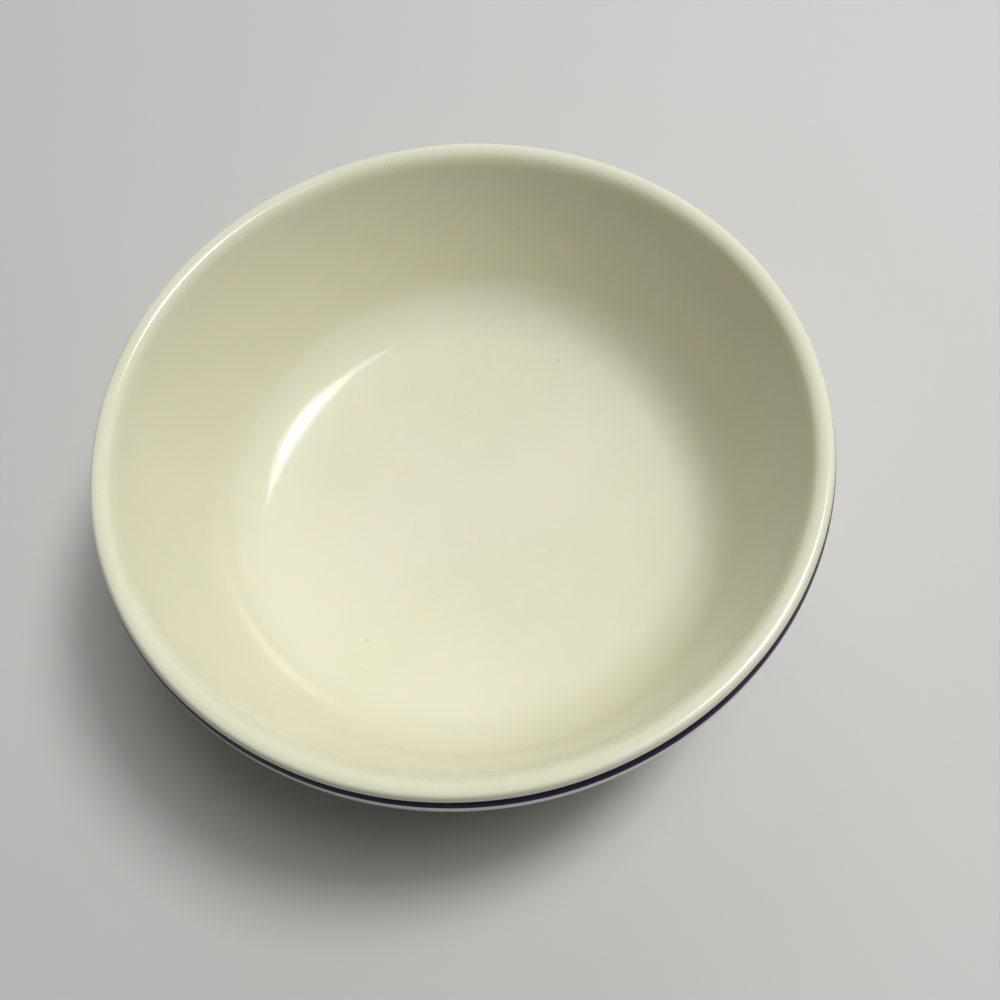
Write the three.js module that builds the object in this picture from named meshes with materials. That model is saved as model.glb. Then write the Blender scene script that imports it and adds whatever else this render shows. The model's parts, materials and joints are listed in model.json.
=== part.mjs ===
// A cereal bowl: one fired clay body on a foot ring, its cream glaze coats, and a navy band painted round
// the outside under the lip. Millimetres, +Z up. The origin is the middle of the plane that the foot ring
// stands on.
//
// All sizes are those of the finished, glazed bowl. Its section is a chain of tangent arcs in the half plane
// of radius (x) and height (y). Each stretch can be drawn at a depth below the finished surface, so the
// faces of the coats and of the clay stay parallel.
import * as THREE from 'three';

// Driving dimensions: the rim
const BOWL_HEIGHT = 60; // table to the crest of the lip
const BOWL_RADIUS = 80; // widest place, on the swell below the lip
const SHOULDER_ROUND = 8; // radius of the soft turn from the inner wall to the lip
const SHOULDER_TURN = 30; // degrees above level of the surface's direction, where the shoulder meets the lip
const LIP_ROUND = 3; // radius of the lip's inner side and top
const LIP_EDGE = 1; // tighter radius of the lip's outer edge
const LIP_TURN = 10; // degrees outwards of the crest, where the top passes into the edge
const SWELL_ROUND = 12.3; // radius of the outside's swell
const SWELL_DROP = 6.1; // crest of the lip down to the widest place
const BAND_DROP = 1.55; // crest of the lip down to the navy band
const BAND_HEIGHT = 2.4; // the navy band

// Driving dimensions: the inside
const INNER_WALL_LEAN = 13; // degrees from upright, where the wall meets the shoulder
const INNER_WALL_ROUND = 200; // radius of the gently hollow wall
const KNUCKLE_ROUND = 22; // radius of the turn from wall to floor
const RISE_ROUND = 70; // radius of the soft rise between the floor and the knuckle
const RISE_SLOPE = 18; // degrees from level, where the rise meets the knuckle
const FLOOR_DISH = 340; // radius of the almost flat floor
const FLOOR_THICKNESS = 4.6; // at the middle, from the underside's recess to the floor

// Driving dimensions: the outside and the foot ring
const WALL_THICKNESS = 5.6; // at the knuckle
const OUTER_WALL_LEAN = 12; // degrees from upright, where the swell ends
const FOOT_RADIUS = 42;
const FOOT_WIDTH = 6;
const FOOT_FILLET = 2.5; // hollow between the bowl's underside and the foot ring
const FOOT_EDGE = 0.8; // rounding of the foot ring's bare edges
const RECESS_HEIGHT = 4.5; // table to the ceiling inside the foot ring
const RECESS_FILLET = 1.5;

// Driving dimensions: the coats
const GLAZE_THICKNESS = 0.35;
const GLAZE_LINE = 1.6; // the foot ring is wiped bare up to this height
const COAT_CLEARANCE = 0.05; // between a coat and the clay, and between two coats

// Facets
const AROUND = 60;
const STEPS = {
  floor: 3,
  rise: 2,
  knuckle: 5,
  wall: 4,
  shoulder: 2,
  lip: 3,
  edge: 2,
  band: 2,
  swell: 2,
  fillet: 3,
};

const UP = Math.PI / 2;
const lipTurn = UP - THREE.MathUtils.degToRad(LIP_TURN);
const innerLean = THREE.MathUtils.degToRad(INNER_WALL_LEAN);
const shoulderTurn = THREE.MathUtils.degToRad(SHOULDER_TURN);
const outerLean = THREE.MathUtils.degToRad(OUTER_WALL_LEAN);
const riseSlope = THREE.MathUtils.degToRad(RISE_SLOPE);
const clayDepth = GLAZE_THICKNESS + COAT_CLEARANCE;

const point = (x, y) => new THREE.Vector2(x, y);

// The point at a distance from a centre, in the direction of an angle above level.
const polar = (centre, distance, angle) =>
  point(centre.x + distance * Math.cos(angle), centre.y + distance * Math.sin(angle));

const direction = (from, to) => Math.atan2(to.y - from.y, to.x - from.x);

function arc(centre, radius, start, end, steps) {
  const points = [];
  for (let i = 0; i <= steps; i += 1) {
    points.push(polar(centre, radius, start + ((end - start) * i) / steps));
  }
  return points;
}

// Where two circles cross, on the side further from the axis.
function crossing(centreA, radiusA, centreB, radiusB) {
  const distance = centreA.distanceTo(centreB);
  const along = (distance ** 2 + radiusA ** 2 - radiusB ** 2) / (2 * distance);
  const turn = Math.acos(along / radiusA);
  const heading = direction(centreA, centreB);
  const one = polar(centreA, radiusA, heading + turn);
  const two = polar(centreA, radiusA, heading - turn);
  return one.x > two.x ? one : two;
}

// Arc centres of the section, each tangent to its neighbours.

// The lip's edge touches the lip's top and the swell from inside.
const swellCentre = point(BOWL_RADIUS - SWELL_ROUND, BOWL_HEIGHT - SWELL_DROP);
const lipToEdge = polar(point(0, 0), LIP_ROUND - LIP_EDGE, lipTurn);
const edgeHeight = BOWL_HEIGHT - LIP_ROUND + lipToEdge.y;
const lipEnd = Math.asin((edgeHeight - swellCentre.y) / (SWELL_ROUND - LIP_EDGE));
const edgeCentre = polar(swellCentre, SWELL_ROUND - LIP_EDGE, lipEnd);
const lipCentre = edgeCentre.clone().sub(lipToEdge);

// The lip's circle lies inside the shoulder's and touches it.
const shoulderCentre = polar(lipCentre, SHOULDER_ROUND - LIP_ROUND, -shoulderTurn);
const shoulderStart = Math.PI - innerLean;
const shoulderEnd = Math.PI - shoulderTurn;

// The band lies on the swell.
const bandTop = Math.asin((SWELL_DROP - BAND_DROP) / SWELL_ROUND);
const bandEnd = Math.asin((SWELL_DROP - BAND_DROP - BAND_HEIGHT) / SWELL_ROUND);

// The inner wall leaves the shoulder at its lean. The knuckle touches the wall and the rise, and the rise
// touches the dished floor.
const wallCentre = polar(shoulderCentre, SHOULDER_ROUND + INNER_WALL_ROUND, shoulderStart);
const floorHeight = RECESS_HEIGHT + FLOOR_THICKNESS;
const dishCentre = point(0, floorHeight + FLOOR_DISH);
const knuckleToRise = polar(point(0, 0), RISE_ROUND - KNUCKLE_ROUND, UP + riseSlope);
const knuckleCentre = crossing(
  wallCentre,
  INNER_WALL_ROUND - KNUCKLE_ROUND,
  dishCentre.clone().sub(knuckleToRise),
  FLOOR_DISH - RISE_ROUND,
);
const riseCentre = knuckleCentre.clone().add(knuckleToRise);
const floorEnd = direction(dishCentre, riseCentre);
const riseEnd = riseSlope - UP;
const wallFoot = direction(wallCentre, knuckleCentre);

// The outer wall leaves the swell at its lean and touches the outer knuckle, which shares the inner one's
// centre.
const outerKnuckleRound = KNUCKLE_ROUND + WALL_THICKNESS;
const leanAxis = point(Math.cos(outerLean), -Math.sin(outerLean));
const knuckleToSwell = swellCentre.clone().sub(knuckleCentre);
const roundDifference = SWELL_ROUND - outerKnuckleRound;
const outerReach =
  (knuckleToSwell.lengthSq() - roundDifference ** 2) / (2 * (knuckleToSwell.dot(leanAxis) + roundDifference));
const outerWallCentre = swellCentre.clone().addScaledVector(leanAxis, -outerReach);
const outerWallRound = outerReach + SWELL_ROUND;
const outerWallFoot = direction(outerWallCentre, knuckleCentre);

// The foot's fillet touches the outer knuckle and the foot ring's outer wall.
const filletReach = outerKnuckleRound + FOOT_FILLET;
const filletX = FOOT_RADIUS + FOOT_FILLET;
const filletStart = -Math.acos((filletX - knuckleCentre.x) / filletReach);
const filletCentre = polar(knuckleCentre, filletReach, filletStart);

// The recess's ceiling and the foot ring's inner wall meet in a fillet.
const recessRadius = FOOT_RADIUS - FOOT_WIDTH;
const recessCentre = point(recessRadius - RECESS_FILLET, RECESS_HEIGHT - RECESS_FILLET);

// Stretches of the section, from the middle of the floor over the lip to the underside. A coat's stretch is
// trimmed by this length where it meets the next coat.
const coatTrim = COAT_CLEARANCE / 2;

function insideLine(depth, trim) {
  const bandStart = bandTop + trim / SWELL_ROUND;
  return [
    point(0, floorHeight - depth),
    ...arc(dishCentre, FLOOR_DISH + depth, -UP, floorEnd, STEPS.floor).slice(1),
    ...arc(riseCentre, RISE_ROUND + depth, floorEnd, riseEnd, STEPS.rise).slice(1),
    ...arc(knuckleCentre, KNUCKLE_ROUND + depth, riseEnd, wallFoot, STEPS.knuckle).slice(1),
    ...arc(wallCentre, INNER_WALL_ROUND + depth, wallFoot, -innerLean, STEPS.wall).slice(1),
    ...arc(shoulderCentre, SHOULDER_ROUND - depth, shoulderStart, shoulderEnd, STEPS.shoulder).slice(1),
    ...arc(lipCentre, LIP_ROUND - depth, shoulderEnd, UP, STEPS.lip).slice(1),
    polar(lipCentre, LIP_ROUND - depth, lipTurn),
    ...arc(edgeCentre, LIP_EDGE - depth, lipTurn, lipEnd, STEPS.edge).slice(1),
    polar(swellCentre, SWELL_ROUND - depth, bandStart),
  ];
}

function bandLine(depth, trim) {
  const trimAngle = trim / SWELL_ROUND;
  return arc(swellCentre, SWELL_ROUND - depth, bandTop - trimAngle, bandEnd + trimAngle, STEPS.band);
}

function outsideLine(depth, trim) {
  const swellStart = bandEnd - trim / SWELL_ROUND;
  return [
    ...arc(swellCentre, SWELL_ROUND - depth, swellStart, -outerLean, STEPS.swell),
    ...arc(outerWallCentre, outerWallRound - depth, -outerLean, outerWallFoot, STEPS.wall).slice(1),
    ...arc(knuckleCentre, outerKnuckleRound - depth, outerWallFoot, filletStart, STEPS.knuckle).slice(1),
    ...arc(filletCentre, FOOT_FILLET + depth, filletStart + Math.PI, Math.PI, STEPS.fillet).slice(1),
    point(FOOT_RADIUS - depth, GLAZE_LINE),
  ];
}

// The bare bottom of the foot ring, which stands on the table.
function footLine(depth) {
  const outerEdge = point(FOOT_RADIUS - depth - FOOT_EDGE, FOOT_EDGE);
  const innerEdge = point(recessRadius + depth + FOOT_EDGE, FOOT_EDGE);
  return [
    ...arc(outerEdge, FOOT_EDGE, 0, -UP, STEPS.edge),
    ...arc(innerEdge, FOOT_EDGE, -UP, -Math.PI, STEPS.edge),
  ];
}

function undersideLine(depth) {
  return [
    point(recessRadius + depth, GLAZE_LINE),
    ...arc(recessCentre, RECESS_FILLET + depth, 0, UP, STEPS.fillet),
    point(0, RECESS_HEIGHT + depth),
  ];
}

// Closed outlines. A coat lies between the finished surface and its own thickness below it: the two coats
// that cover the axis start and end there, and the two rings close on themselves.
function innerGlazeOutline() {
  return [...insideLine(0, coatTrim), ...insideLine(GLAZE_THICKNESS, coatTrim).reverse()];
}

function undersideGlazeOutline() {
  return [...undersideLine(GLAZE_THICKNESS).reverse(), ...undersideLine(0)];
}

function ringOutline(line) {
  const outline = [...line(0, coatTrim), ...line(GLAZE_THICKNESS, coatTrim).reverse()];
  return [...outline, outline[0].clone()];
}

function clayOutline() {
  return [
    ...insideLine(clayDepth, 0),
    ...bandLine(clayDepth, 0).slice(1),
    ...outsideLine(clayDepth, 0).slice(1),
    ...footLine(clayDepth),
    ...undersideLine(clayDepth),
  ];
}

// Turns an outline round the bowl's axis. The section runs clockwise, so it is reversed to face outwards.
function turned(name, outline, material) {
  const geometry = new THREE.LatheGeometry(outline.reverse(), AROUND);
  geometry.rotateX(UP);
  const mesh = new THREE.Mesh(geometry, material);
  mesh.name = name;
  return mesh;
}

const finish = (color, roughness) => new THREE.MeshStandardMaterial({ color, roughness, metalness: 0 });

const bowl = new THREE.Group();
bowl.name = 'cereal_bowl';
bowl.add(
  turned('clay_body', clayOutline(), finish('#cbb699', 0.85)),
  turned('inner_glaze', innerGlazeOutline(), finish('#dfdcb9', 0.1)),
  turned('blue_band', ringOutline(bandLine), finish('#15142b', 0.15)),
  turned('outer_glaze', ringOutline(outsideLine), finish('#dfdcb9', 0.1)),
  turned('underside_glaze', undersideGlazeOutline(), finish('#d8d4b2', 0.2)),
);

export default bowl;
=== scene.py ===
import json
from math import acos, asin, atan2, cos, pi, radians, sin

import bmesh
import bpy
from mathutils import Matrix, Quaternion, Vector, noise

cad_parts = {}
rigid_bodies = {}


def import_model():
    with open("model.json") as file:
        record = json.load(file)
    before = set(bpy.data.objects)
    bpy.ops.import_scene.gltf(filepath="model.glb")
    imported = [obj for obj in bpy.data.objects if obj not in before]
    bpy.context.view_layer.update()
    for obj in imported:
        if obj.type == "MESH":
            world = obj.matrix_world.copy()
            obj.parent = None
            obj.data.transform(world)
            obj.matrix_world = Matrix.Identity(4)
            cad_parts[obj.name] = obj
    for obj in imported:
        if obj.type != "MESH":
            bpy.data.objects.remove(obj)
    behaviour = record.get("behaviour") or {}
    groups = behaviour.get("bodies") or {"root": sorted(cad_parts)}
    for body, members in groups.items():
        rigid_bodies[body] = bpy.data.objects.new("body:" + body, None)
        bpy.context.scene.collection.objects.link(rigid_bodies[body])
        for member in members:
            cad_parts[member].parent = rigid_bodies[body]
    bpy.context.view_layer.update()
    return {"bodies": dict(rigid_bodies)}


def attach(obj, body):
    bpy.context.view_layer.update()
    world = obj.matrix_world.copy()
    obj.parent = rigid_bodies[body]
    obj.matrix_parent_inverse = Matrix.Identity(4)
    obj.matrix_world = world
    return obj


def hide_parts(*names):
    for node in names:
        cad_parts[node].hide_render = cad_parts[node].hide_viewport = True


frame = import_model()
BODY = next(iter(frame["bodies"]))

MM = 0.001
UP = pi / 2

# Sizes of the finished bowl, as in the solids
BOWL_HEIGHT = 60.0
BOWL_RADIUS = 80.0
SHOULDER_ROUND = 8.0
SHOULDER_TURN = radians(30)
LIP_ROUND = 3.0
LIP_EDGE = 1.0
LIP_TURN = UP - radians(10)
SWELL_ROUND = 12.3
SWELL_DROP = 6.1
BAND_DROP = 1.55
BAND_HEIGHT = 2.4
INNER_LEAN = radians(13)
INNER_WALL_ROUND = 200.0
KNUCKLE_ROUND = 22.0
RISE_ROUND = 70.0
RISE_SLOPE = radians(18)
FLOOR_DISH = 340.0
FLOOR_THICKNESS = 4.6
WALL_THICKNESS = 5.6
OUTER_LEAN = radians(12)
FOOT_RADIUS = 42.0
FOOT_WIDTH = 6.0
FOOT_FILLET = 2.5
FOOT_EDGE = 0.8
RECESS_HEIGHT = 4.5
RECESS_FILLET = 1.5
GLAZE_THICKNESS = 0.35
GLAZE_LINE = 1.6
CLAY_DEPTH = 0.4

# What the hand leaves: waves of an edge round the bowl, as (waves per turn, millimetres, place of a crest)
BAND_TOP_WAVES = (
    (2, 0.05, radians(30)),
    (5, 0.04, radians(200)),
    (11, 0.02, radians(75)),
)
BAND_END_WAVES = (
    (1, 0.1, radians(-40)),
    (3, 0.2, radians(-64)),
    (7, 0.06, radians(20)),
    (13, 0.03, radians(130)),
)
GLAZE_LINE_WAVES = (
    (2, 0.12, radians(60)),
    (5, 0.1, radians(10)),
    (9, 0.06, radians(140)),
    (17, 0.03, radians(80)),
)

# What the kiln leaves: a slow drift of the form, which fades out towards the table
DRIFT = 0.08
DRIFT_SPAN = 30.0
DRIFT_FADE = 12.0
DRIFT_SEED = 7

# Facets: round the bowl, and along each stretch of a hidden face; a shown face has FINE times as many
AROUND = 300
FINE = 2
STEPS = {
    "floor": 5,
    "rise": 4,
    "knuckle": 9,
    "wall": 6,
    "shoulder": 4,
    "lip": 8,
    "edge": 4,
    "band": 4,
    "swell": 5,
    "fillet": 4,
    "bead": 6,
}
SHARP_ANGLE = radians(40)

# An outline that starts nearer to the axis than this starts on it
ON_AXIS = 0.001


# Plane geometry

def polar(centre, distance, angle):
    return centre + distance * Vector((cos(angle), sin(angle)))


def direction(start, end):
    return atan2(end.y - start.y, end.x - start.x)


def arc(centre, radius, start, end, steps):
    return [polar(centre, radius, start + (end - start) * i / steps) for i in range(steps + 1)]


def crossing(centre_a, radius_a, centre_b, radius_b):
    """Where two circles cross, on the side further from the axis."""
    distance = (centre_b - centre_a).length
    along = (distance ** 2 + radius_a ** 2 - radius_b ** 2) / (2 * distance)
    turn = acos(along / radius_a)
    heading = direction(centre_a, centre_b)
    crossings = (polar(centre_a, radius_a, heading + turn), polar(centre_a, radius_a, heading - turn))
    return max(crossings, key=lambda point: point.x)


# Arc centres of the section, each arc touching its neighbours

SWELL_CENTRE = Vector((BOWL_RADIUS - SWELL_ROUND, BOWL_HEIGHT - SWELL_DROP))
LIP_TO_EDGE = polar(Vector((0, 0)), LIP_ROUND - LIP_EDGE, LIP_TURN)
EDGE_HEIGHT = BOWL_HEIGHT - LIP_ROUND + LIP_TO_EDGE.y
LIP_END = asin((EDGE_HEIGHT - SWELL_CENTRE.y) / (SWELL_ROUND - LIP_EDGE))
EDGE_CENTRE = polar(SWELL_CENTRE, SWELL_ROUND - LIP_EDGE, LIP_END)
LIP_CENTRE = EDGE_CENTRE - LIP_TO_EDGE
SHOULDER_CENTRE = polar(LIP_CENTRE, SHOULDER_ROUND - LIP_ROUND, -SHOULDER_TURN)
SHOULDER_START = pi - INNER_LEAN
SHOULDER_END = pi - SHOULDER_TURN

BAND_TOP = asin((SWELL_DROP - BAND_DROP) / SWELL_ROUND)
BAND_END = asin((SWELL_DROP - BAND_DROP - BAND_HEIGHT) / SWELL_ROUND)

WALL_CENTRE = polar(SHOULDER_CENTRE, SHOULDER_ROUND + INNER_WALL_ROUND, SHOULDER_START)
DISH_CENTRE = Vector((0, RECESS_HEIGHT + FLOOR_THICKNESS + FLOOR_DISH))
KNUCKLE_TO_RISE = polar(Vector((0, 0)), RISE_ROUND - KNUCKLE_ROUND, UP + RISE_SLOPE)
KNUCKLE_CENTRE = crossing(
    WALL_CENTRE,
    INNER_WALL_ROUND - KNUCKLE_ROUND,
    DISH_CENTRE - KNUCKLE_TO_RISE,
    FLOOR_DISH - RISE_ROUND,
)
RISE_CENTRE = KNUCKLE_CENTRE + KNUCKLE_TO_RISE
FLOOR_END = direction(DISH_CENTRE, RISE_CENTRE)
RISE_END = RISE_SLOPE - UP
WALL_FOOT = direction(WALL_CENTRE, KNUCKLE_CENTRE)

OUTER_KNUCKLE_ROUND = KNUCKLE_ROUND + WALL_THICKNESS


def outer_wall_reach():
    """From the swell's centre to the outer wall's, which touches the swell, at its lean, and the knuckle."""
    axis = Vector((cos(OUTER_LEAN), -sin(OUTER_LEAN)))
    apart = SWELL_CENTRE - KNUCKLE_CENTRE
    difference = SWELL_ROUND - OUTER_KNUCKLE_ROUND
    return (apart.length_squared - difference ** 2) / (2 * (apart.dot(axis) + difference))


OUTER_WALL_ROUND = outer_wall_reach() + SWELL_ROUND
OUTER_WALL_CENTRE = polar(SWELL_CENTRE, outer_wall_reach(), pi - OUTER_LEAN)
OUTER_WALL_FOOT = direction(OUTER_WALL_CENTRE, KNUCKLE_CENTRE)

FILLET_REACH = OUTER_KNUCKLE_ROUND + FOOT_FILLET
FILLET_START = -acos((FOOT_RADIUS + FOOT_FILLET - KNUCKLE_CENTRE.x) / FILLET_REACH)
FILLET_CENTRE = polar(KNUCKLE_CENTRE, FILLET_REACH, FILLET_START)

RECESS_RADIUS = FOOT_RADIUS - FOOT_WIDTH
RECESS_CENTRE = Vector((RECESS_RADIUS - RECESS_FILLET, RECESS_HEIGHT - RECESS_FILLET))

# Runs down the swell from the band's top
LIP_RUN = (BAND_TOP - LIP_END) * SWELL_ROUND
BAND_RUN = (BAND_TOP - BAND_END) * SWELL_ROUND
SWELL_RUN = (BAND_TOP + OUTER_LEAN) * SWELL_ROUND


# Stretches of the section, at a depth below the finished surface and at an angle round the bowl

def wave(waves, turn):
    return sum(height * cos(count * (turn - crest)) for count, height, crest in waves)


def swell_line(start, end, depth, steps):
    """The swell between two runs."""
    turns = [BAND_TOP - run / SWELL_ROUND for run in (start, end)]
    return arc(SWELL_CENTRE, SWELL_ROUND - depth, *turns, steps)


def inside_line(turn, depth, fine):
    """From the middle of the floor over the lip to the band."""
    steps = {name: fine * count for name, count in STEPS.items()}
    line = arc(DISH_CENTRE, FLOOR_DISH + depth, -UP, FLOOR_END, steps["floor"])
    line += arc(RISE_CENTRE, RISE_ROUND + depth, FLOOR_END, RISE_END, steps["rise"])[1:]
    line += arc(KNUCKLE_CENTRE, KNUCKLE_ROUND + depth, RISE_END, WALL_FOOT, steps["knuckle"])[1:]
    line += arc(WALL_CENTRE, INNER_WALL_ROUND + depth, WALL_FOOT, -INNER_LEAN, steps["wall"])[1:]
    line += arc(SHOULDER_CENTRE, SHOULDER_ROUND - depth, SHOULDER_START, SHOULDER_END, steps["shoulder"])[1:]
    line += arc(LIP_CENTRE, LIP_ROUND - depth, SHOULDER_END, LIP_TURN, steps["lip"])[1:]
    line += arc(EDGE_CENTRE, LIP_EDGE - depth, LIP_TURN, LIP_END, steps["edge"])[1:]
    line += swell_line(LIP_RUN, wave(BAND_TOP_WAVES, turn), depth, fine)[1:]
    return line


def band_line(turn, depth, fine):
    top = wave(BAND_TOP_WAVES, turn)
    end = BAND_RUN + wave(BAND_END_WAVES, turn)
    return swell_line(top, end, depth, fine * STEPS["band"])


def outside_line(turn, depth, fine):
    """From the band down to the foot ring."""
    steps = {name: fine * count for name, count in STEPS.items()}
    knuckle_round = OUTER_KNUCKLE_ROUND - depth
    line = swell_line(BAND_RUN + wave(BAND_END_WAVES, turn), SWELL_RUN, depth, steps["swell"])
    line += arc(OUTER_WALL_CENTRE, OUTER_WALL_ROUND - depth, -OUTER_LEAN, OUTER_WALL_FOOT, steps["wall"])[1:]
    line += arc(KNUCKLE_CENTRE, knuckle_round, OUTER_WALL_FOOT, FILLET_START, steps["knuckle"])[1:]
    line += arc(FILLET_CENTRE, FOOT_FILLET + depth, FILLET_START + pi, pi, steps["fillet"])[1:]
    return line


def foot_line(depth):
    """The bare bottom of the foot ring, from its outer wall to its inner one."""
    outer_edge = Vector((FOOT_RADIUS - depth - FOOT_EDGE, FOOT_EDGE))
    inner_edge = Vector((RECESS_RADIUS + depth + FOOT_EDGE, FOOT_EDGE))
    line = arc(outer_edge, FOOT_EDGE, 0, -UP, FINE * STEPS["edge"])
    line += arc(inner_edge, FOOT_EDGE, -UP, -pi, FINE * STEPS["edge"])
    return line


def underside_line(depth, fine):
    """From the foot ring's inner wall to the middle of the recess's ceiling."""
    line = arc(RECESS_CENTRE, RECESS_FILLET + depth, 0, UP, fine * STEPS["fillet"])
    ceiling = line[-1]
    steps = fine * STEPS["floor"]
    line += [Vector((ceiling.x * (1 - i / steps), ceiling.y)) for i in range(1, steps + 1)]
    return line


def glaze_bead(radius, turn):
    """The rolled end of a coat on the foot ring, from its outer side round to its inner one."""
    centre = Vector((radius - GLAZE_THICKNESS / 2, GLAZE_LINE + wave(GLAZE_LINE_WAVES, turn)))
    return arc(centre, GLAZE_THICKNESS / 2, 0, -pi, STEPS["bead"])


# Closed outlines at an angle round the bowl

def inner_glaze_outline(turn):
    return inside_line(turn, 0, FINE) + inside_line(turn, GLAZE_THICKNESS, 1)[::-1]


def blue_band_outline(turn):
    return band_line(turn, 0, FINE) + band_line(turn, GLAZE_THICKNESS, 1)[::-1]


def outer_glaze_outline(turn):
    bead = glaze_bead(FOOT_RADIUS, turn)
    return outside_line(turn, 0, FINE) + bead + outside_line(turn, GLAZE_THICKNESS, 1)[::-1]


def underside_glaze_outline(turn):
    bead = glaze_bead(RECESS_RADIUS + GLAZE_THICKNESS, turn)
    return underside_line(GLAZE_THICKNESS, 1)[::-1] + bead + underside_line(0, FINE)


def clay_outline(turn):
    line = inside_line(turn, CLAY_DEPTH, 1)
    line += band_line(turn, CLAY_DEPTH, 1)[1:]
    line += outside_line(turn, CLAY_DEPTH, 1)[1:]
    line += foot_line(CLAY_DEPTH)
    line += underside_line(CLAY_DEPTH, 1)
    return line


# Turned meshes

def fired(point, turn):
    """A section point as a place in the scene, with the drift of the fired form."""
    place = Vector((point.x * cos(turn), point.x * sin(turn), point.y))
    fade = min(place.z / DRIFT_FADE, 1)
    return MM * (place + DRIFT * fade * noise.noise_vector(place / DRIFT_SPAN))


def meridians(mesh, outline):
    """The vertices of each outline round the bowl. An outline that starts on the axis also ends there."""
    rows = []
    for i in range(AROUND):
        turn = 2 * pi * i / AROUND
        points = outline(turn)
        row = [mesh.verts.new(fired(point, turn)) for point in points[1:-1]]
        tips = (points[0], points[-1])
        if tips[0].x > ON_AXIS:
            ends = [mesh.verts.new(fired(tip, turn)) for tip in tips]
        elif rows:
            ends = [rows[0][0], rows[0][-1]]
        else:
            ends = [mesh.verts.new(MM * Vector((0, 0, tip.y))) for tip in tips]
        rows.append([ends[0], *row, ends[1]])
    return rows


def turned_mesh(name, outline):
    """A closed mesh turned from an outline: a ring, or a form that covers the axis."""
    mesh = bmesh.new()
    rows = meridians(mesh, outline)
    ring = rows[0][0] is not rows[1][0]
    sides = len(rows[0]) if ring else len(rows[0]) - 1
    for i, row in enumerate(rows):
        after = rows[(i + 1) % AROUND]
        for k in range(sides):
            n = (k + 1) % len(row)
            # On the axis two corners are one vertex, which the dictionary keeps once
            corners = dict.fromkeys((row[k], row[n], after[n], after[k]))
            mesh.faces.new(corners)
    bmesh.ops.recalc_face_normals(mesh, faces=mesh.faces)
    data = bpy.data.meshes.new(name)
    mesh.to_mesh(data)
    mesh.free()
    data.shade_smooth()
    data.set_sharp_from_angle(angle=SHARP_ANGLE)
    return data


def turned(name, node, outline, material):
    """A turned piece that stands for a node of the solids."""
    data = turned_mesh(name, outline)
    data.materials.append(material)
    piece = bpy.data.objects.new(name, data)
    bpy.context.collection.objects.link(piece)
    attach(piece, BODY)
    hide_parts(node)


# Shader nodes

# Sockets of the mix node that carry colours
MIX_UNDER = 6
MIX_OVER = 7
MIX_RESULT = 2

# Spans of a value: the whole of it, and the part where most of a noise value lies
WHOLE = (0, 1)
MOST = (0.3, 0.7)

# The share of a speck's reach that has its full strength
FINE_SPECK_HEART = 0.5
SINGLE_SPECK_HEART = 0.4

BACKDROP_TONE = (0.60, 0.60, 0.59)


def add(tree, kind, values, links):
    """A shader node with its plain values and its linked inputs."""
    node = tree.nodes.new("ShaderNode" + kind)
    for name, value in values.items():
        node.inputs[name].default_value = value
    for name, socket in links.items():
        tree.links.new(socket, node.inputs[name])
    return node


def new_material(name):
    material = bpy.data.materials.new(name)
    material.use_nodes = True
    tree = material.node_tree
    return material, tree, tree.nodes["Principled BSDF"]


def object_place(tree):
    return add(tree, "TexCoord", {}, {}).outputs["Object"]


def stretched(tree, place, factors):
    node = add(tree, "VectorMath", {}, {0: place})
    node.operation = "MULTIPLY"
    node.inputs[1].default_value = factors
    return node.outputs["Vector"]


def grain(tree, place, scale, detail):
    """A noise value about 0.5, with this many features per metre."""
    return add(tree, "TexNoise", {"Scale": scale, "Detail": detail}, {"Vector": place}).outputs["Fac"]


def summed(tree, one, two):
    """Two values added up, at most 1."""
    node = add(tree, "Math", {}, {0: one, 1: two})
    node.use_clamp = True
    return node.outputs["Value"]


def between(tree, value, span, result):
    """A smooth step of a value, from one result to another as it crosses a span."""
    limits = {"From Min": span[0], "From Max": span[1], "To Min": result[0], "To Max": result[1]}
    node = add(tree, "MapRange", limits, {"Value": value})
    node.interpolation_type = "SMOOTHSTEP"
    return node.outputs["Result"]


def mixed(tree, factor, under, over):
    """Two colours mixed by a factor; the first is a socket or a colour, the second a colour."""
    node = tree.nodes.new("ShaderNodeMix")
    node.data_type = "RGBA"
    tree.links.new(factor, node.inputs["Factor"])
    if isinstance(under, tuple):
        node.inputs[MIX_UNDER].default_value = (*under, 1)
    else:
        tree.links.new(under, node.inputs[MIX_UNDER])
    node.inputs[MIX_OVER].default_value = (*over, 1)
    return node.outputs[MIX_RESULT]


def bumped(tree, shader, height, distance, strength):
    node = add(tree, "Bump", {"Distance": distance, "Strength": strength}, {"Height": height})
    tree.links.new(node.outputs["Normal"], shader.inputs["Normal"])


def fine_specks(tree, place, per_metre, size, strength):
    """Scattered dots: the strength at the heart of a dot and 0 off it."""
    distance = add(tree, "TexVoronoi", {"Scale": per_metre}, {"Vector": place}).outputs["Distance"]
    reach = size * MM * per_metre
    dots = between(tree, distance, (reach * FINE_SPECK_HEART, reach), (1, 0))
    return between(tree, dots, WHOLE, (0, strength))


def single_speck(tree, place, spot, size, strength):
    node = add(tree, "VectorMath", {}, {0: place})
    node.operation = "DISTANCE"
    node.inputs[1].default_value = MM * Vector(spot)
    reach = size * MM
    dot = between(tree, node.outputs["Value"], (reach * SINGLE_SPECK_HEART, reach), (1, 0))
    return between(tree, dot, WHOLE, (0, strength))


def seen_directly(tree):
    """1 for what the camera sees, also in a reflection or through glass, and 0 for what lights the bowl."""
    path = tree.nodes.new("ShaderNodeLightPath")
    seen = summed(tree, path.outputs["Is Camera Ray"], path.outputs["Is Glossy Ray"])
    return summed(tree, seen, path.outputs["Is Transmission Ray"])


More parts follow.
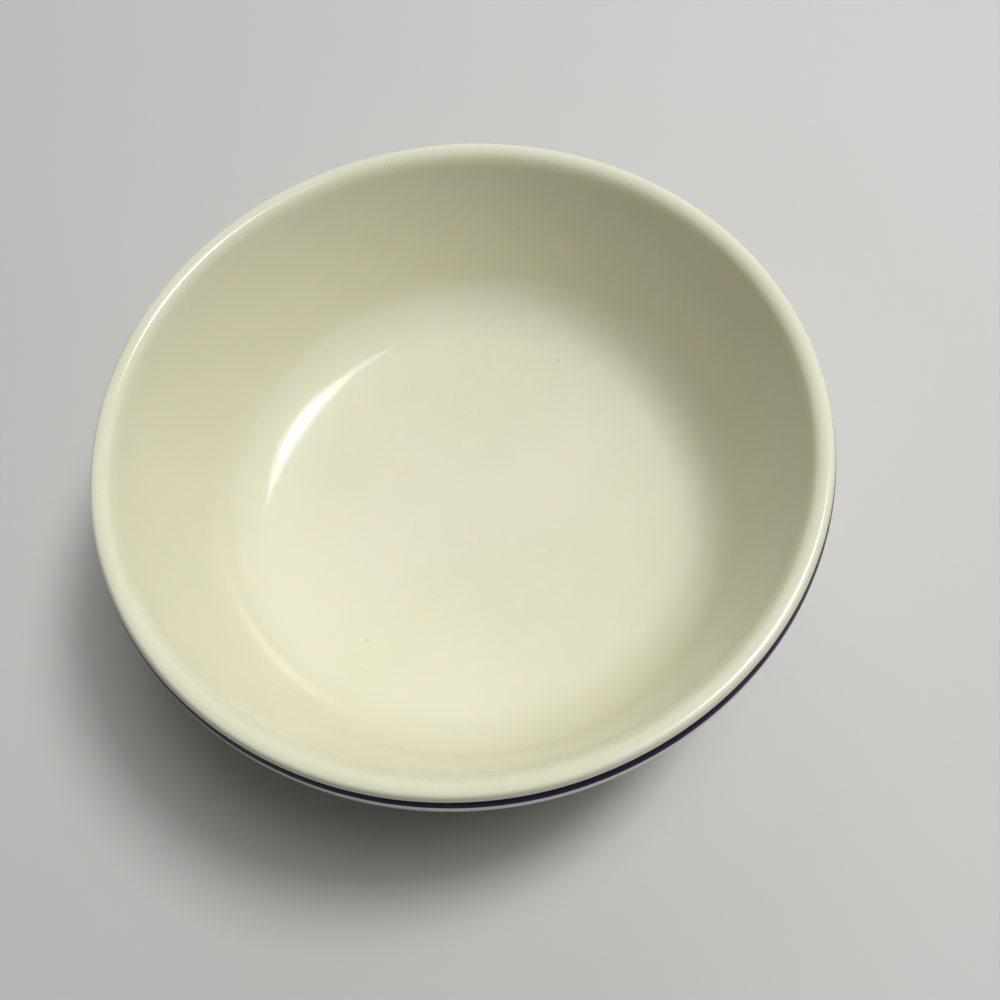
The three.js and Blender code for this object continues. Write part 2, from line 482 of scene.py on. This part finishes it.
def shown_backdrop(tree, share, near, kind):
    """A shader that passes, by a share, from a near one into an even backdrop."""
    backdrop = add(tree, kind, {"Color": (*BACKDROP_TONE, 1)}, {})
    mix = add(tree, "MixShader", {}, {"Fac": share, 1: near, 2: backdrop.outputs[kind]})
    return mix.outputs["Shader"]


# Materials: grains are in features per metre, specks in millimetres, bump heights in metres

CREAM = (0.72, 0.708, 0.545)
CREAM_GREEN = (0.695, 0.69, 0.515)
CREAM_WARM = (0.735, 0.70, 0.53)
CREAM_CLOUDS = 24
CREAM_CLOUD_SPAN = (0.35, 0.65)
CREAM_MOTTLE = 210
CREAM_MOTTLE_SPAN = (0.45, 0.75)
CREAM_MOTTLE_STRENGTH = 0.6
CREAM_PEEL = 800
CREAM_PEEL_HEIGHT = 0.00002
CREAM_ROUGHNESS = (0.05, 0.08)
CREAM_IOR = 1.6
CREAM_HAZE = 0.2
CREAM_HAZE_ROUGHNESS = 0.3
SPECK_BROWN = (0.30, 0.24, 0.14)
SPECKS_PER_METRE = 150
SPECK_SIZE = 0.22
SPECK_STRENGTH = 0.35
SINGLE_SPECKS = ((29.8, 40.2, 13.9), (-30.7, -29.4, 12.0))
SINGLE_SPECK_SIZE = 0.65
SINGLE_SPECK_STRENGTH = 0.3


def cream_glaze():
    """Glossy cream glaze: soft clouds of tone, fine iron specks, two larger ones and a fine orange peel."""
    material, tree, shader = new_material("cream_glaze")
    place = object_place(tree)
    clouds = grain(tree, place, CREAM_CLOUDS, detail=2)
    mottle = grain(tree, place, CREAM_MOTTLE, detail=3)
    peel = grain(tree, place, CREAM_PEEL, detail=2)
    specks = fine_specks(tree, place, SPECKS_PER_METRE, SPECK_SIZE, SPECK_STRENGTH)
    warmth = between(tree, mottle, CREAM_MOTTLE_SPAN, (0, CREAM_MOTTLE_STRENGTH))
    colour = mixed(tree, between(tree, clouds, CREAM_CLOUD_SPAN, WHOLE), CREAM, CREAM_GREEN)
    colour = mixed(tree, warmth, colour, CREAM_WARM)
    colour = mixed(tree, specks, colour, SPECK_BROWN)
    for spot in SINGLE_SPECKS:
        speck = single_speck(tree, place, spot, SINGLE_SPECK_SIZE, SINGLE_SPECK_STRENGTH)
        colour = mixed(tree, speck, colour, SPECK_BROWN)
    tree.links.new(colour, shader.inputs["Base Color"])
    tree.links.new(between(tree, mottle, MOST, CREAM_ROUGHNESS), shader.inputs["Roughness"])
    shader.inputs["IOR"].default_value = CREAM_IOR
    shader.inputs["Coat Weight"].default_value = CREAM_HAZE
    shader.inputs["Coat Roughness"].default_value = CREAM_HAZE_ROUGHNESS
    bumped(tree, shader, peel, CREAM_PEEL_HEIGHT, strength=0.5)
    return material


NAVY = (0.004, 0.003, 0.042)
NAVY_THIN = (0.010, 0.009, 0.075)
NAVY_STREAKS = (30, 30, 1600)
NAVY_STREAK_SPAN = (0.42, 0.7)
NAVY_STREAK_HEIGHT = 0.00001
NAVY_POOLS = 60
NAVY_POOL_SPAN = (0.4, 0.7)
NAVY_POOL_STRENGTH = 0.7
NAVY_ROUGHNESS = (0.16, 0.26)
NAVY_GLOSS = 0.02


def navy_glaze():
    """Navy painted round under the glaze: long brush streaks, a little thinner and bluer between them."""
    material, tree, shader = new_material("navy_glaze")
    place = object_place(tree)
    streaks = grain(tree, stretched(tree, place, NAVY_STREAKS), scale=1, detail=3)
    pools = grain(tree, place, NAVY_POOLS, detail=2)
    pooled = between(tree, pools, NAVY_POOL_SPAN, (0, NAVY_POOL_STRENGTH))
    colour = mixed(tree, between(tree, streaks, NAVY_STREAK_SPAN, WHOLE), NAVY, NAVY_THIN)
    colour = mixed(tree, pooled, colour, NAVY)
    tree.links.new(colour, shader.inputs["Base Color"])
    tree.links.new(between(tree, streaks, MOST, NAVY_ROUGHNESS), shader.inputs["Roughness"])
    shader.inputs["Specular IOR Level"].default_value = NAVY_GLOSS
    bumped(tree, shader, streaks, NAVY_STREAK_HEIGHT, strength=0.5)
    return material


CLAY = (0.58, 0.46, 0.33)
CLAY_PALE = (0.68, 0.57, 0.43)
CLAY_CLOUDS = 70
CLAY_CLOUD_SPAN = (0.35, 0.7)
CLAY_SAND = 1500
CLAY_SAND_HEIGHT = 0.0001
CLAY_ROUGHNESS = (0.75, 0.95)
GRIT = (0.24, 0.16, 0.09)
GRITS_PER_METRE = 420
GRIT_SIZE = 0.3
GRIT_STRENGTH = 0.7


def fired_clay():
    """Bare stoneware: buff, matt and sandy, with dark grains."""
    material, tree, shader = new_material("fired_clay")
    place = object_place(tree)
    clouds = grain(tree, place, CLAY_CLOUDS, detail=4)
    sand = grain(tree, place, CLAY_SAND, detail=3)
    grit = fine_specks(tree, place, GRITS_PER_METRE, GRIT_SIZE, GRIT_STRENGTH)
    colour = mixed(tree, between(tree, clouds, CLAY_CLOUD_SPAN, WHOLE), CLAY, CLAY_PALE)
    colour = mixed(tree, grit, colour, GRIT)
    tree.links.new(colour, shader.inputs["Base Color"])
    tree.links.new(between(tree, sand, MOST, CLAY_ROUGHNESS), shader.inputs["Roughness"])
    bumped(tree, shader, sand, CLAY_SAND_HEIGHT, strength=0.8)
    return material


FLOOR_TONE = (0.60, 0.595, 0.58)
FLOOR_TONE_DEEP = (0.57, 0.565, 0.55)
FLOOR_CLOUDS = 9
FLOOR_TOOTH = 400
FLOOR_ROUGHNESS = (0.7, 0.85)
FLOOR_GLOSS = 0.2
FLOOR_FADE = (0.16, 0.6)


def pale_floor():
    """A pale floor that shows the bowl's shadow near it, and passes into the backdrop further off."""
    material, tree, shader = new_material("pale_floor")
    place = object_place(tree)
    clouds = grain(tree, place, FLOOR_CLOUDS, detail=4)
    tooth = grain(tree, place, FLOOR_TOOTH, detail=2)
    tree.links.new(mixed(tree, clouds, FLOOR_TONE, FLOOR_TONE_DEEP), shader.inputs["Base Color"])
    tree.links.new(between(tree, tooth, MOST, FLOOR_ROUGHNESS), shader.inputs["Roughness"])
    shader.inputs["Specular IOR Level"].default_value = FLOOR_GLOSS
    reach = add(tree, "VectorMath", {}, {0: place})
    reach.operation = "LENGTH"
    far = between(tree, reach.outputs["Value"], FLOOR_FADE, WHOLE)
    share = add(tree, "Math", {}, {0: far, 1: seen_directly(tree)})
    share.operation = "MULTIPLY"
    surface = shown_backdrop(tree, share.outputs["Value"], shader.outputs["BSDF"], "Emission")
    tree.links.new(surface, tree.nodes["Material Output"].inputs["Surface"])
    return material


# The pieces

def make_bowl():
    noise.seed_set(DRIFT_SEED)
    cream = cream_glaze()
    turned("clay_body_fired", "clay_body", clay_outline, fired_clay())
    turned("inner_glaze_coat", "inner_glaze", inner_glaze_outline, cream)
    turned("blue_band_brushed", "blue_band", blue_band_outline, navy_glaze())
    turned("outer_glaze_coat", "outer_glaze", outer_glaze_outline, cream)
    turned("underside_glaze_coat", "underside_glaze", underside_glaze_outline, cream)


# The studio, in metres; the lens and the sensor are in millimetres and the lamps' powers in watts

FLOOR_SIZE = 8.0
CAMERA_PLACE = MM * Vector((0, -106.75, 238.73))
CAMERA_AIM = MM * Vector((6.721, -6.657, 30))
CAMERA_ROLL = radians(-6.051)
CAMERA_LENS = 35.0
CAMERA_NEAR = 0.01
SENSOR_WIDTH = 36.0
KEY_HEADING = (0.40, 0.09, 0.91)
LAMP_ALONG = Vector((0.45, 0.85, -0.22))
FILL_DISTANCE = 1.3
FILL_SIZE = 0.6
WORLD_STRENGTH = 0.05


def make_floor():
    half = FLOOR_SIZE / 2
    corners = [(-half, -half, 0), (half, -half, 0), (half, half, 0), (-half, half, 0)]
    data = bpy.data.meshes.new("floor")
    data.from_pydata(corners, [], [(0, 1, 2, 3)])
    data.materials.append(pale_floor())
    floor = bpy.data.objects.new("floor", data)
    bpy.context.collection.objects.link(floor)


def make_camera():
    data = bpy.data.cameras.new("camera")
    data.lens = CAMERA_LENS
    data.sensor_width = SENSOR_WIDTH
    data.clip_start = CAMERA_NEAR
    camera = bpy.data.objects.new("camera", data)
    bpy.context.collection.objects.link(camera)
    camera.location = CAMERA_PLACE
    camera.rotation_mode = "QUATERNION"
    level = (CAMERA_AIM - CAMERA_PLACE).to_track_quat("-Z", "Y")
    camera.rotation_quaternion = level @ Quaternion((0, 0, 1), CAMERA_ROLL)
    bpy.context.scene.camera = camera


def make_lamp(name, heading, distance, length, width, power):
    """An oval soft lamp at a heading from the bowl, facing it, with its length along LAMP_ALONG."""
    data = bpy.data.lights.new(name, "AREA")
    data.shape = "ELLIPSE"
    data.size = length
    data.size_y = width
    data.energy = power
    lamp = bpy.data.objects.new(name, data)
    bpy.context.collection.objects.link(lamp)
    toward = Vector(heading).normalized()
    across = toward.cross(LAMP_ALONG).normalized()
    axes = Matrix((across.cross(toward), across, toward)).transposed()
    lamp.matrix_world = Matrix.LocRotScale(distance * toward, axes, None)
    return lamp


def make_fill(name, heading, power):
    """A large round lamp that gives no highlight."""
    lamp = make_lamp(name, heading, FILL_DISTANCE, FILL_SIZE, FILL_SIZE, power)
    lamp.visible_glossy = False


def make_world():
    """An even surround: one strength lights the bowl, and another is what the camera and reflections see."""
    world = bpy.data.worlds.new("studio")
    world.use_nodes = True
    bpy.context.scene.world = world
    tree = world.node_tree
    light = tree.nodes["Background"]
    light.inputs["Strength"].default_value = WORLD_STRENGTH
    light.inputs["Color"].default_value = (1, 1, 1, 1)
    surround = shown_backdrop(tree, seen_directly(tree), light.outputs["Background"], "Background")
    tree.links.new(surround, tree.nodes["World Output"].inputs["Surface"])


def make_lamps():
    """A key lamp with a dimmer rim and tail, which give the highlights, and fills for the room's light."""
    make_lamp("key", KEY_HEADING, distance=1.0, length=0.26, width=0.20, power=3.9)
    make_lamp("key_rim", KEY_HEADING, distance=1.01, length=0.44, width=0.36, power=0.9)
    make_lamp("key_tail", (0.35, 0.07, 0.93), distance=1.0, length=0.68, width=0.15, power=0.55)
    make_fill("main", heading=(0.31, 0.0, 0.95), power=4.7)
    make_fill("window", heading=(0.46, 0.80, 0.37), power=2.1)
    make_fill("back", heading=(0.0, 0.71, 0.71), power=1.4)
    make_fill("top", heading=(0.05, 0.0, 1.0), power=1.05)


def make_studio():
    make_floor()
    make_camera()
    make_lamps()
    make_world()
    bpy.context.scene.view_settings.view_transform = "Standard"


make_bowl()
make_studio()
